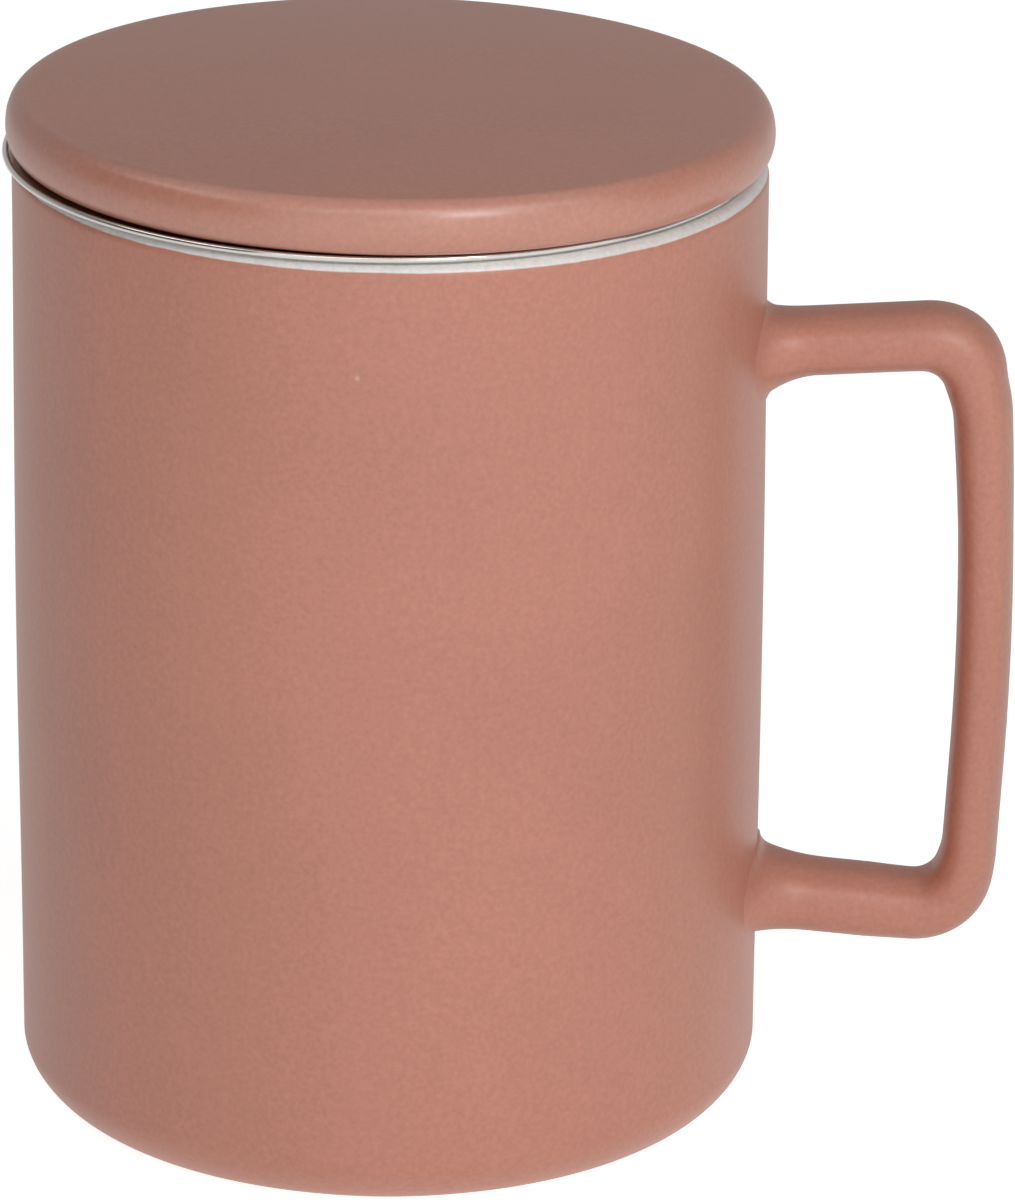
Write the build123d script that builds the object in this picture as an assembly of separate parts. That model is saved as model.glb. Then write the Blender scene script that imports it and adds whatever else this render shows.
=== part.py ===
from build123d import *
from math import cos, pi, sqrt
import os

os.makedirs("parts", exist_ok=True)

# A lidded stoneware tea mug with a loose stainless infuser. All sizes are in millimetres.
# The origin is on the mug's axis in the plane of its foot, +Z is up and the handle is at +X.

# Mug body: a plain upright cup with a soft heel and a narrow foot ring
wall_radius = 43.2       # outside
lip_height = 113.5       # foot plane to the top of the lip
wall_thickness = 4.4
lip_round_outside = 1.6
lip_round_inside = 2.2
floor_thickness = 5.2    # above the underside of the cup, inside the foot ring
floor_corner = 9.0       # radius between the floor and the inner wall
heel_width = 6.3         # how far the rounded heel reaches inwards
heel_height = 6.4        # and upwards
heel_fullness = 0.46     # 0.55 is a quarter ellipse, less is flatter
foot_height = 0.7
foot_width = 3.2
foot_inset = 0.3         # from the end of the heel to the foot ring
foot_recess = 0.8        # how far the underside lies above the end of the heel
foot_bevel = 0.3

# Handle: a D of one flat-oval section, luted to the wall by two flared ends
handle_standoff = 24.15  # wall to the corners of the centre line, before they are rounded
upper_arm_drop = 21.3    # lip to the upper arm's centre line, where it leaves the wall
lower_arm_height = 25.0  # foot plane to the lower arm's centre line there
arm_splay = 4.25         # degrees by which each arm leans away from the finger loop
upright_bow = 2.0        # how far the upright stands out beyond the corners, before rounding
bow_share = 0.7          # share of the upright's half length that its rounding takes up
handle_thickness = 6.8   # in the plane of the D
handle_depth = 11.0      # across it
section_corner = 3.0
upper_bend = 6.1         # centre line radii of the two bends
lower_bend = 6.9
flare_length = 5.5
flare_inside = 1.9       # growth towards the finger loop at the wall
flare_outside = 0.8      # growth away from it
flare_power = 2          # these two grow with this power of the nearness to the wall
pad_start = 3.2          # how far off the wall the pads begin to spread sideways
pad_sink = 2.2           # how deep in the wall they reach their full width
upper_pad_spread = 7.2   # growth of the upper arm's pad on each side
lower_pad_spread = 9.4   # and of the lower arm's
flare_sections = 10
flare_root = 3.8         # how far the flare is drawn into the wall before it is trimmed

# Infuser: pressed collar, slotted sleeve and slotted base, welded into one basket
infuser_shift = 1.2      # the loose basket sits off centre by this much, away from the handle
flange_inset = 0.2       # how much smaller the flange's radius is than the wall's
basket_side_gap = 3.1    # least room between the neck and the mug's inner wall
sheet = 0.5
rolled_edge = 0.75       # diameter of the curled edge
neck_depth = 14.0        # flange underside to the end of the neck
neck_bend = 1.2          # radius between neck and flange, on the underside
basket_floor_gap = 24.9  # room between the basket and the mug's floor
sleeve_sheet = 0.4
weld_overlap = 4.0       # how far the sleeve runs up inside the neck
base_skirt = 4.0         # height of the base's upturned wall around the sleeve
base_heel = 1.5
base_rim = 2.6           # width of the flat rim that the basket stands on out of the mug
base_recess = 1.8        # how far the base's floor is pressed up inside that rim
slot_width = 0.8
slot_length = 10.0
slot_spacing = 13.0      # from one band of slots to the next
slots_around = 36
plain_band = 5.0         # least height of whole sheet above the base's skirt and below the neck
base_slot_length = 6.0
base_slot_rings = 3
base_slot_step = 10      # slots in the innermost ring, and how many more each next ring has
base_middle = 3.8        # radius of whole sheet in the middle of the base
base_edge_margin = 0.8   # edge of the base's floor to the outer slots

# Lid: a low dome with a rounded edge, and a ring below that keeps it in the infuser's neck
lid_overhang = 0.63      # how far the lid's edge stands out beyond the wall
lid_edge_height = 6.2    # underside to the start of the dome
lid_dome_rise = 2.2
lid_widest_height = 3.0  # height of the widest line above the underside
lid_under_round = 1.7    # how far the lower rounding reaches inwards
lid_shoulder_round = 1.9 # how far the upper rounding reaches inwards
lid_thickness = 5.0      # at the middle
ring_depth = 5.5
ring_thickness = 3.0
ring_bevel = 0.8
ring_root = 2.0          # radius between the ring and the hollow of the lid
ring_side_clearance = 0.4

# Resting gaps, one above the other
flange_gap = 0.1         # lip to flange
lid_gap = 0.1            # rolled edge to lid

# Heights and radii that follow
inner_radius = wall_radius - wall_thickness
lid_radius = wall_radius + lid_overhang
flange_radius = wall_radius - flange_inset
neck_outer = inner_radius - infuser_shift - basket_side_gap
neck_bore = neck_outer - sheet
upper_arm_height = lip_height - upper_arm_drop
wall_start = foot_height + heel_height
underside = foot_height + foot_recess
floor_top = underside + floor_thickness
heel_end = wall_radius - heel_width
foot_outer = heel_end - foot_inset
flange_base = lip_height + flange_gap
neck_end = flange_base - neck_depth
basket_bottom = floor_top + basket_floor_gap
sleeve_bore = neck_bore - sleeve_sheet
lid_base = flange_base + rolled_edge + lid_gap
ring_outer = neck_bore - infuser_shift - ring_side_clearance
ring_inner = ring_outer - ring_thickness
quarter = 0.55           # fullness of a quarter ellipse


def quarter_curve(start, end, fullness=quarter):
    """A curve that leaves start level with +X and reaches end running straight up."""
    (r0, z0), (r1, z1) = start, end
    return Bezier(start, (r0 + fullness * (r1 - r0), z0), (r1, z1 - fullness * (z1 - z0)), end)


def mug_body():
    """The cup: heel, wall, rounded lip, inner wall, floor and foot ring in one turned shape."""
    foot_inner = foot_outer - foot_width
    outline = Curve() + [
        quarter_curve((heel_end, foot_height), (wall_radius, wall_start), heel_fullness),
        Polyline(
            (wall_radius, wall_start),
            (wall_radius, lip_height),
            (inner_radius, lip_height),
            (inner_radius, floor_top),
            (0, floor_top),
            (0, underside),
            (foot_inner, underside),
            (foot_inner, 0),
            (foot_outer, 0),
            (foot_outer, foot_height),
            (heel_end, foot_height),
        ),
    ]
    section = make_face(outline)

    def corner(radius, height):
        return section.vertices().sort_by_distance((radius, height))[0]

    section = fillet(corner(inner_radius, floor_top), floor_corner)
    section = fillet(corner(inner_radius, lip_height), lip_round_inside)
    section = fillet(corner(wall_radius, lip_height), lip_round_outside)
    section = chamfer([corner(foot_inner, 0), corner(foot_outer, 0)], foot_bevel)
    return revolve(Plane.XZ * section, Axis.Z)


def handle_section(place, way, loop_side, growth=0.0, side_growth=0.0):
    """The flat-oval section across an arm, grown by a share of the flare and on each side.

    Its thickness lies along loop_side, the direction from the arm towards the finger loop.
    """
    thickness = handle_thickness + growth * (flare_inside + flare_outside)
    depth = handle_depth + 2 * side_growth
    shift = growth * (flare_inside - flare_outside) / 2
    corner = section_corner * thickness / handle_thickness
    plane = Plane(place, x_dir=loop_side, z_dir=way)
    return plane * Pos(shift, 0) * RectangleRounded(thickness, depth, corner)


def flare(wall_point, way, loop_side, spread):
    """One end of the handle, lofted into the wall: it thickens along a power curve, and a pad
    spreads sideways in a soft step."""
    sections = []
    for step in range(flare_sections + 1):
        distance = flare_length - step * (flare_length + flare_root) / flare_sections
        growth = (1 - distance / flare_length) ** flare_power
        widened = min(1, max(0, (pad_start - distance) / (pad_start + pad_sink)))
        side_growth = spread * (1 - cos(pi * widened)) / 2
        place = wall_point + way * distance
        sections.append(handle_section(place, way, loop_side, growth, side_growth))
    return loft(sections)


def handle():
    """The D-handle: one section swept round the D, with a flared pad at both ends."""
    upper_way = Vector(1, 0, 0).rotate(Axis.Y, -arm_splay)
    lower_way = Vector(1, 0, 0).rotate(Axis.Y, arm_splay)
    below = Vector(0, 0, -1).rotate(Axis.Y, -arm_splay)
    above = Vector(0, 0, 1).rotate(Axis.Y, arm_splay)
    upper_wall = Vector(wall_radius, 0, upper_arm_height)
    lower_wall = Vector(wall_radius, 0, lower_arm_height)
    run = handle_standoff / upper_way.X
    upper_corner = upper_wall + upper_way * run
    lower_corner = lower_wall + lower_way * run
    half_upright = (upper_corner - lower_corner).length / 2
    corners = [
        upper_wall + upper_way * flare_length,
        upper_corner,
        (upper_corner + lower_corner) / 2 + Vector(upright_bow, 0, 0),
        lower_corner,
        lower_wall + lower_way * flare_length,
    ]
    bow_radius = bow_share * half_upright**2 / upright_bow
    path = FilletPolyline(*corners, radius=(upper_bend, bow_radius, lower_bend))
    bar = sweep(handle_section(corners[0], upper_way, below), path)
    upper_end = flare(upper_wall, upper_way, below, upper_pad_spread)
    lower_end = flare(lower_wall, lower_way, above, lower_pad_spread)
    trim = Cylinder(wall_radius, lip_height, align=(Align.CENTER, Align.CENTER, Align.MIN))
    return bar + upper_end + lower_end - trim


def infuser_collar():
    """The pressed collar: a short neck, a bend, a level flange and its rolled edge."""
    edge_radius = rolled_edge / 2
    edge_centre = flange_radius - edge_radius
    bend_centre = neck_outer + neck_bend
    bend_height = flange_base - neck_bend
    flange_top = flange_base + sheet
    strip = Curve() + [
        Line((neck_outer, neck_end), (neck_outer, bend_height)),
        RadiusArc((neck_outer, bend_height), (bend_centre, flange_base), neck_bend),
        Polyline(
            (bend_centre, flange_base),
            (edge_centre, flange_base),
            (edge_centre, flange_top),
            (bend_centre, flange_top),
        ),
        RadiusArc((bend_centre, flange_top), (neck_bore, bend_height), -(neck_bend + sheet)),
        Polyline((neck_bore, bend_height), (neck_bore, neck_end), (neck_outer, neck_end)),
    ]
    curl = Pos(edge_centre, flange_base + edge_radius) * Circle(edge_radius)
    section = make_face(strip) + curl
    return Pos(-infuser_shift, 0, 0) * revolve(Plane.XZ * section, Axis.Z)


def infuser_sleeve():
    """The sleeve: a thin tube with bands of upright slots, each band half a step on."""
    bottom = basket_bottom + base_heel
    top = neck_end + weld_overlap
    tube = Cylinder(neck_bore, top - bottom) - Cylinder(sleeve_bore, top - bottom)
    tube = Pos(0, 0, (bottom + top) / 2) * tube

    lowest = basket_bottom + base_skirt + plain_band
    highest = neck_end - plain_band
    bands = int((highest - lowest - slot_length) / slot_spacing) + 1
    middle = (lowest + highest) / 2
    step = 360 / slots_around
    slot = Box(neck_bore - sleeve_bore + 2 * sheet, slot_width, slot_length)
    slots = []
    for band in range(bands):
        height = middle + (band - (bands - 1) / 2) * slot_spacing
        turn = step / 2 * (band % 2)
        ring = PolarLocations((neck_bore + sleeve_bore) / 2, slots_around, start_angle=turn)
        slots += [Pos(0, 0, height) * place * slot for place in ring]
    return Pos(-infuser_shift, 0, 0) * (tube - slots)


def infuser_base():
    """The base: a pressed cup around the sleeve's end, its slotted floor raised inside a rim."""
    skirt_top = basket_bottom + base_skirt
    floor = basket_bottom + base_recess
    rim_inner = neck_outer - base_heel - base_rim
    floor_edge = rim_inner - base_recess
    lean = sheet * (sqrt(2) - 1)  # keeps the sheet's thickness on the 45 degree step
    section = make_face(
        Polyline(
            (0, floor),
            (floor_edge, floor),
            (rim_inner, basket_bottom),
            (neck_outer, basket_bottom),
            (neck_outer, skirt_top),
            (neck_bore, skirt_top),
            (neck_bore, basket_bottom + sheet),
            (rim_inner + lean, basket_bottom + sheet),
            (floor_edge + lean, floor + sheet),
            (0, floor + sheet),
            close=True,
        )
    )
    outside = section.vertices().sort_by_distance((neck_outer, basket_bottom))[0]
    section = fillet(outside, base_heel)
    inside = section.vertices().sort_by_distance((neck_bore, basket_bottom + sheet))[0]
    section = fillet(inside, base_heel - sheet)
    cup = revolve(Plane.XZ * section, Axis.Z)

    slot = Box(base_slot_length, slot_width, 2 * sheet)
    slots = []
    outermost = floor_edge - base_edge_margin - base_slot_length / 2
    innermost = base_middle + base_slot_length / 2
    for number in range(base_slot_rings):
        radius = outermost - number * (outermost - innermost) / (base_slot_rings - 1)
        ring = PolarLocations(radius, base_slot_step * (base_slot_rings - number))
        slots += [Pos(0, 0, floor + sheet / 2) * place * slot for place in ring]
    return Pos(-infuser_shift, 0, 0) * (cup - slots)


def lid():
    """The lid: a low dome with a rounded edge, hollowed below inside its locating ring."""
    shoulder = lid_radius - lid_shoulder_round
    dome_radius = (shoulder**2 + lid_dome_rise**2) / (2 * lid_dome_rise)
    crown = lid_edge_height + lid_dome_rise
    ceiling = crown - lid_thickness

    def fall(radius):
        """How far the dome lies below its crown at a radius."""
        return dome_radius - sqrt(dome_radius**2 - radius**2)

    slope = shoulder / (dome_radius - lid_dome_rise)
    reach = quarter * lid_shoulder_round
    upper_round = Bezier(
        (lid_radius, lid_widest_height),
        (lid_radius, lid_widest_height + quarter * (lid_edge_height - lid_widest_height)),
        (shoulder + reach, lid_edge_height - reach * slope),
        (shoulder, lid_edge_height),
    )
    under_start = lid_radius - lid_under_round
    outline = Curve() + [
        quarter_curve((under_start, 0), (lid_radius, lid_widest_height)),
        upper_round,
        ThreePointArc(
            (shoulder, lid_edge_height), (shoulder / 2, crown - fall(shoulder / 2)), (0, crown)
        ),
        Line((0, crown), (0, ceiling)),
        ThreePointArc(
            (0, ceiling),
            (ring_inner / 2, ceiling - fall(ring_inner / 2)),
            (ring_inner, ceiling - fall(ring_inner)),
        ),
        Polyline(
            (ring_inner, ceiling - fall(ring_inner)),
            (ring_inner, -ring_depth),
            (ring_outer, -ring_depth),
            (ring_outer, 0),
            (under_start, 0),
        ),
    ]
    section = make_face(outline)

    def corner(radius, height):
        return section.vertices().sort_by_distance((radius, height))[0]

    section = fillet(corner(ring_inner, ceiling - fall(ring_inner)), ring_root)
    section = chamfer([corner(ring_inner, -ring_depth), corner(ring_outer, -ring_depth)], ring_bevel)
    return Pos(0, 0, lid_base) * revolve(Plane.XZ * section, Axis.Z)


pieces = {
    "mug_body": mug_body,
    "handle": handle,
    "infuser_collar": infuser_collar,
    "infuser_sleeve": infuser_sleeve,
    "infuser_base": infuser_base,
    "lid": lid,
}
for name, make in pieces.items():
    export_step(make(), f"parts/{name}.step")
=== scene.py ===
# %% [markdown]
# # A lidded tea mug with its steel infuser
# The mug is stoneware with a satin terracotta glaze outside and a white glaze inside. A slotted
# steel basket hangs in it by its flange, and a low-domed lid lies on the flange. Every surface
# below is a numpy array first and a Blender mesh second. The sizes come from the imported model,
# so each piece lands where the construction has it.

# %% The frame
import math

import bpy
import numpy as np
from mathutils import Matrix, Vector


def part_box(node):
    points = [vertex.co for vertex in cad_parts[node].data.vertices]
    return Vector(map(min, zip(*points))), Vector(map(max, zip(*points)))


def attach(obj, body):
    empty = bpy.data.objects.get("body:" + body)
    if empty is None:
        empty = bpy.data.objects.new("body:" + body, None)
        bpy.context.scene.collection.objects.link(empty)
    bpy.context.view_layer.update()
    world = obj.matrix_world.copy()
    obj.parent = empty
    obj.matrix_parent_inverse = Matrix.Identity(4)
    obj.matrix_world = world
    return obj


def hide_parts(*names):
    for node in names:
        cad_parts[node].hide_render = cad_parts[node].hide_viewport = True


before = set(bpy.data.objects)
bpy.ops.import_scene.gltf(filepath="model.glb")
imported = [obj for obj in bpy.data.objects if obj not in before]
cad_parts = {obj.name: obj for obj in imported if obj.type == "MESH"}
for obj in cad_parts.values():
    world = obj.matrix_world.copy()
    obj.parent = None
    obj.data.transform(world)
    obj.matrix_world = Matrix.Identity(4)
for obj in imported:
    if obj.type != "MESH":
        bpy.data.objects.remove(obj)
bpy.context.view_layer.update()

MM = 0.001

# %% [markdown]
# ## Sizes that everything shares
# A turned or pressed piece is described by a few radii and heights. The outer ones are read
# from the frame, so they can't drift away from it. The inner ones, such as the wall's
# thickness, can't be read off a box, so they are named here or beside their piece.

# %% Radii and heights
mug_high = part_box("mug_body")[1]
lid_low, lid_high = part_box("lid")
collar_low, collar_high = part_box("infuser_collar")
sleeve_low, sleeve_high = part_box("infuser_sleeve")
base_low, base_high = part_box("infuser_base")

wall_radius = mug_high[1]
lip_height = mug_high[2]
wall_thickness = 4.4 * MM
inner_radius = wall_radius - wall_thickness
infuser_shift = -(collar_low[0] + collar_high[0]) / 2
print("wall radius %.1f mm, lip height %.1f mm" % (wall_radius / MM, lip_height / MM))
print("the infuser sits %.1f mm off the axis" % (infuser_shift / MM))

# %% [markdown]
# ## From a grid of points to a mesh
# Most pieces here are a grid of points: rows along a profile, columns around or across it.
# Neighbouring points make a quad. A grid may close on itself in either direction, and an end
# row may be closed by one point in its middle. Modelling by hand would give the same quads,
# but a grid of arrays can be made again with other sizes in an instant.

# %% Faces of a grid
def grid_faces(rows, columns, wrap_rows=False, wrap_columns=True):
    """Quads between neighbouring points of a grid, numbered row by row."""
    row = np.arange(rows if wrap_rows else rows - 1)[:, None]
    column = np.arange(columns if wrap_columns else columns - 1)[None, :]
    next_row, next_column = (row + 1) % rows, (column + 1) % columns
    quads = np.stack(
        [
            row * columns + column,
            row * columns + next_column,
            next_row * columns + next_column,
            next_row * columns + column,
        ],
        axis=-1,
    )
    return quads.reshape(-1, 4)


def fan_faces(first, columns, centre, forwards):
    """Triangles from a closed row of points to one centre point."""
    here = first + np.arange(columns)
    after = first + (np.arange(columns) + 1) % columns
    middle = np.full(columns, centre)
    order = [here, middle, after] if forwards else [here, after, middle]
    return np.stack(order, axis=-1)


print("a tube of 3 rows by 8 columns has", len(grid_faces(3, 8)), "quads")

# %% [markdown]
# A face has an outer side, which its corners show by running anticlockwise. A face that looks
# inwards shades wrongly and spoils an exported solid. The volume that a surface encloses comes
# out positive when its faces look outwards, so its sign says whether to turn them over.

# %% Grid to mesh
def signed_volume(points, faces):
    """Sum over triangles of (a . (b x c)) / 6, positive when the faces look outwards."""
    a, b, c = points[faces[:, 0]], points[faces[:, 1]], points[faces[:, 2]]
    total = np.einsum("ij,ij->i", a, np.cross(b, c)).sum()
    if faces.shape[1] == 4:
        d = points[faces[:, 3]]
        total += np.einsum("ij,ij->i", a, np.cross(c, d)).sum()
    return total / 6


def make_piece(name, points, quads, fans=(), inside=(0, 0, 0)):
    """Builds a smooth mesh object. An open sheet also needs a point on its inner side."""
    triangles = np.concatenate(fans) if len(fans) else np.zeros((0, 3), int)
    volume = signed_volume(points - inside, quads)
    if len(triangles):
        volume += signed_volume(points - inside, triangles)
    if volume < 0:
        quads, triangles = quads[:, ::-1], triangles[:, ::-1]
    corners = np.concatenate([quads.ravel(), triangles.ravel()]).astype(np.int32)
    sizes = np.concatenate([np.full(len(quads), 4), np.full(len(triangles), 3)])
    starts = np.concatenate([[0], np.cumsum(sizes)[:-1]]).astype(np.int32)
    mesh = bpy.data.meshes.new(name)
    mesh.vertices.add(len(points))
    mesh.vertices.foreach_set("co", points.astype(np.float32).ravel())
    mesh.loops.add(len(corners))
    mesh.loops.foreach_set("vertex_index", corners)
    mesh.polygons.add(len(sizes))
    mesh.polygons.foreach_set("loop_start", starts)
    mesh.update(calc_edges=True)
    mesh.validate()
    mesh.polygons.foreach_set("use_smooth", np.ones(len(sizes), bool))
    piece = bpy.data.objects.new(name, mesh)
    bpy.context.scene.collection.objects.link(piece)
    print("%s: %d points, %d faces" % (name, len(points), len(sizes)))
    return piece


# %% [markdown]
# ## Profiles of turned pieces
# A cup on a wheel is a profile carried once round an axis. The profile is a run of straight
# lines, quarter rounds and Bezier curves, each sampled as an array. Points crowd together on
# the rounds, where light changes fast, and lie far apart on the plain walls. A Bevel modifier
# could round the edges as well, but here each round has a radius of its own.

# %% Runs of a profile
def straight(start, end, count):
    """Points on start + t (end - start), with t even from 0 to 1."""
    share = np.linspace(0, 1, count)[:, None]
    return np.array(start) * (1 - share) + np.array(end) * share


def rounded(centre, radius, first, last, count):
    """Points on centre + radius (cos a, sin a), with the angle even in degrees."""
    angle = np.radians(np.linspace(first, last, count))
    return np.array(centre) + radius * np.stack([np.cos(angle), np.sin(angle)], axis=1)


def bent(start, start_handle, end_handle, end, count):
    """Points on the cubic Bezier (1-t)^3 a + 3t(1-t)^2 b + 3t^2(1-t) c + t^3 d."""
    t = np.linspace(0, 1, count)[:, None]
    a, b, c, d = (np.array(p) for p in (start, start_handle, end_handle, end))
    return (1 - t) ** 3 * a + 3 * t * (1 - t) ** 2 * b + 3 * t**2 * (1 - t) * c + t**3 * d


def joined(*runs):
    """One profile from several runs, leaving out points that lie on the one before."""
    points = np.concatenate(runs)
    step = np.linalg.norm(np.diff(points, axis=0), axis=1)
    return points[np.concatenate([[True], step > 1e-7])]


corner_test = joined(straight((0, 0), (1, 0), 2), rounded((1, 1), 1, -90, 0, 5))
print("a line and a quarter round share a point:", len(corner_test), "points of 7 are left")

# %% [markdown]
# Fired clay is never perfectly round. A ripple of a few hundredths of a millimetre, a sum of
# slow waves around and up the pot, keeps long reflections from looking machined. The lip isn't
# quite level either: its plane falls a little over half a degree towards the handle and the
# back, and the infuser and the lid lie on that plane. Turning the pieces would part them, so
# their heights are sheared instead, which keeps every gap.

# %% Fall and ripple
rim_fall = (-0.0105, -0.0035)
rim_blend = 45 * MM


def settled(points, share=1.0):
    """Heights sheared by share (a x + b y), which keeps every gap between stacked pieces."""
    points = np.array(points)
    points[:, 2] += share * (rim_fall[0] * points[:, 0] + rim_fall[1] * points[:, 1])
    return points


def ripple(angle, height, depth):
    """depth times the mean of three slow waves around and along the piece, from 0 to depth."""
    waves = (
        np.sin(2 * angle + 0.7)
        + np.sin(3 * angle - 90 * height + 1.9)
        + np.sin(5 * angle + 140 * height)
    )
    return depth * (waves + 3) / 6


print("the lip falls by %.2f degrees" % math.degrees(math.atan(math.hypot(*rim_fall))))

# %% Turning a profile
SECTORS = 288


def on_circles(angle, radius, height):
    """Points (r cos a, r sin a, z) from arrays of angle, radius and height."""
    x, y, z = np.broadcast_arrays(radius * np.cos(angle), radius * np.sin(angle), height)
    return np.stack([x, y, z], axis=-1).reshape(-1, 3)


def turned(name, profile, closed=False, shift=0.0, unevenness=0.0, fall_from=None):
    """Surface (r cos a + shift, r sin a, z) with (r, z) on the profile and a once round. The
    lip's fall applies in full, or grows with the square of the height above fall_from."""
    angle = np.linspace(0, 2 * np.pi, SECTORS, endpoint=False)[None, :]
    start_pole, end_pole = (not closed and profile[end][0] < 1e-9 for end in (0, -1))
    body = profile[int(start_pole) : len(profile) - int(end_pole)]
    radius, height = body[:, 0:1], body[:, 1:2]
    points = on_circles(angle, radius - ripple(angle, height, unevenness), height)
    points[:, 0] += shift
    fans = []
    for pole, row, forwards in ((start_pole, 0, True), (end_pole, len(body) - 1, False)):
        if pole:
            centre = (shift, 0, profile[0 if forwards else -1][1])
            fans.append(fan_faces(row * SECTORS, SECTORS, len(points), forwards))
            points = np.concatenate([points, [centre]])
    quads = grid_faces(len(body), SECTORS, wrap_rows=closed)
    share = 1.0
    if fall_from is not None:
        share = np.clip((points[:, 2] - fall_from) / rim_blend, 0, 1) ** 2
    return make_piece(name, settled(points, share), quads, fans)


print("a turned piece has a column every %.2f degrees" % (360 / SECTORS))

# %% [markdown]
# ## The mug's body
# The cup is thrown or cast in one piece, so it is one closed profile: up the heel and the
# wall, over the lip, down inside, across the floor, and back under the foot. A cylinder
# hollowed by a Boolean modifier would have the same sharp edge everywhere. Here the lip is
# rounder inside than outside, because the glaze and the sponge soften it there. Only the foot
# ring touches the table, and the underside inside it is set back.

# %% Cup sizes
foot_height = 0.7 * MM
foot_width = 3.2 * MM
foot_inset = 0.3 * MM
foot_bevel = 0.35 * MM
heel_reach = 6.3 * MM
heel_rise = 6.4 * MM
heel_fullness = 0.46
recess_height = 1.5 * MM
floor_height = 6.7 * MM
floor_corner = 9.0 * MM
lip_outside = 1.6 * MM
lip_inside = 2.2 * MM
belly = 0.25 * MM

heel_end = wall_radius - heel_reach
foot_outer = heel_end - foot_inset
foot_inner = foot_outer - foot_width
wall_start = foot_height + heel_rise
lip_out_centre = (wall_radius - lip_outside, lip_height - lip_outside)
lip_in_centre = (inner_radius + lip_inside, lip_height - lip_inside)
floor_centre = (inner_radius - floor_corner, floor_height + floor_corner)
print("foot ring %.1f mm across and %.1f mm wide" % (2 * foot_outer / MM, foot_width / MM))

# %% Cup profile
def bellied(run):
    """The wall's run with its radius swelled by belly sin(pi t)^2, t going from end to end."""
    share = np.linspace(0, 1, len(run))
    return run + np.stack([belly * np.sin(np.pi * share) ** 2, 0 * share], axis=1)


recess_corner = (foot_inner, recess_height)
foot_profile = joined(
    straight((0, recess_height), (foot_inner - foot_bevel, recess_height), 12),
    bent(
        (foot_inner - foot_bevel, recess_height),
        recess_corner,
        recess_corner,
        (foot_inner, recess_height - foot_bevel),
        6,
    ),
    rounded((foot_inner + foot_bevel, foot_bevel), foot_bevel, 180, 270, 6),
    rounded((foot_outer - foot_bevel, foot_bevel), foot_bevel, 270, 360, 6),
    straight((foot_outer, foot_bevel), (foot_outer, foot_height), 3),
    straight((foot_outer, foot_height), (heel_end, foot_height), 3),
)
cup_profile = joined(
    foot_profile,
    bent(
        (heel_end, foot_height),
        (heel_end + heel_fullness * heel_reach, foot_height),
        (wall_radius, wall_start - heel_fullness * heel_rise),
        (wall_radius, wall_start),
        28,
    ),
    bellied(straight((wall_radius, wall_start), (wall_radius, lip_height - lip_outside), 72)),
    rounded(lip_out_centre, lip_outside, 0, 90, 14),
    rounded(lip_in_centre, lip_inside, 90, 180, 14),
    straight((inner_radius, lip_height - lip_inside), (inner_radius, floor_centre[1]), 30),
    rounded(floor_centre, floor_corner, 0, -90, 18),
    straight((floor_centre[0], floor_height), (0, floor_height), 10),
)
print("cup profile: %d points" % len(cup_profile))

# %% Cup
cup = turned("mug_cup", cup_profile, unevenness=0.06 * MM, fall_from=lip_height - rim_blend)
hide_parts("mug_body")
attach(cup, "mug")

# %% [markdown]
# ## The handle's line
# A cast handle is a flat-oval bar bent into a D and luted to the wall. A section carried along
# a line gives it. A curve object with a bevel could do that too, but its section could neither
# swell nor spread on the way. The line is two leaning arms and a slightly bowed upright. Soft
# clay bends tightly next to the arm and then eases into the upright, so each corner is cut off
# by a slant with a tight arc at one end and a slack arc at the other.

# %% Arcs along a line
def direction(start, end):
    """The unit vector from one point to another."""
    return (end - start) / np.linalg.norm(end - start)


def arc_between(corner, before, after, radius):
    """Ends and centre of the arc of a radius that rounds a corner between two directions."""
    turn = math.acos(np.clip(np.dot(before, after), -1, 1))
    cut = radius * math.tan(turn / 2)
    start, end = corner - before * cut, corner + after * cut
    inward = (after - before) / np.linalg.norm(after - before)
    centre = corner + inward * radius / math.cos(turn / 2)
    return start, end, centre


def arc_points(start, end, centre, count):
    """Points turning evenly from start to end about the centre."""
    first = math.atan2(*(start - centre)[::-1])
    last = math.atan2(*(end - centre)[::-1])
    angle = np.linspace(first, last, count)
    radius = np.linalg.norm(start - centre)
    return centre + radius * np.stack([np.cos(angle), np.sin(angle)], axis=1)


quarter = arc_between(np.array([1.0, 0.0]), np.array([1.0, 0.0]), np.array([0.0, 1.0]), 0.5)
print("an arc of 0.5 in a square corner starts at", quarter[0], "and ends at", quarter[1])

# %% Even steps and eased bends
def evenly_spaced(points, step):
    """The same line with points an even step apart, by linear interpolation on its length."""
    length = np.concatenate([[0], np.cumsum(np.linalg.norm(np.diff(points, axis=0), axis=1))])
    marks = np.linspace(0, length[-1], int(length[-1] / step) + 1)
    return np.stack([np.interp(marks, length, points[:, k]) for k in range(2)], axis=1), marks


def eased(values, reach):
    """A running mean over reach points each way, with the ends held."""
    kernel = np.hanning(2 * reach + 3)[1:-1]
    padded = np.pad(values, ((reach, reach), (0, 0)), mode="reflect", reflect_type="odd")
    columns = [np.convolve(padded[:, k], kernel / kernel.sum(), "valid") for k in range(2)]
    return np.stack(columns, axis=1)


print("a 1 mm line in steps of 0.25 mm:", evenly_spaced(np.array([[0, 0], [1, 0]]), 0.25)[1])

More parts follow.
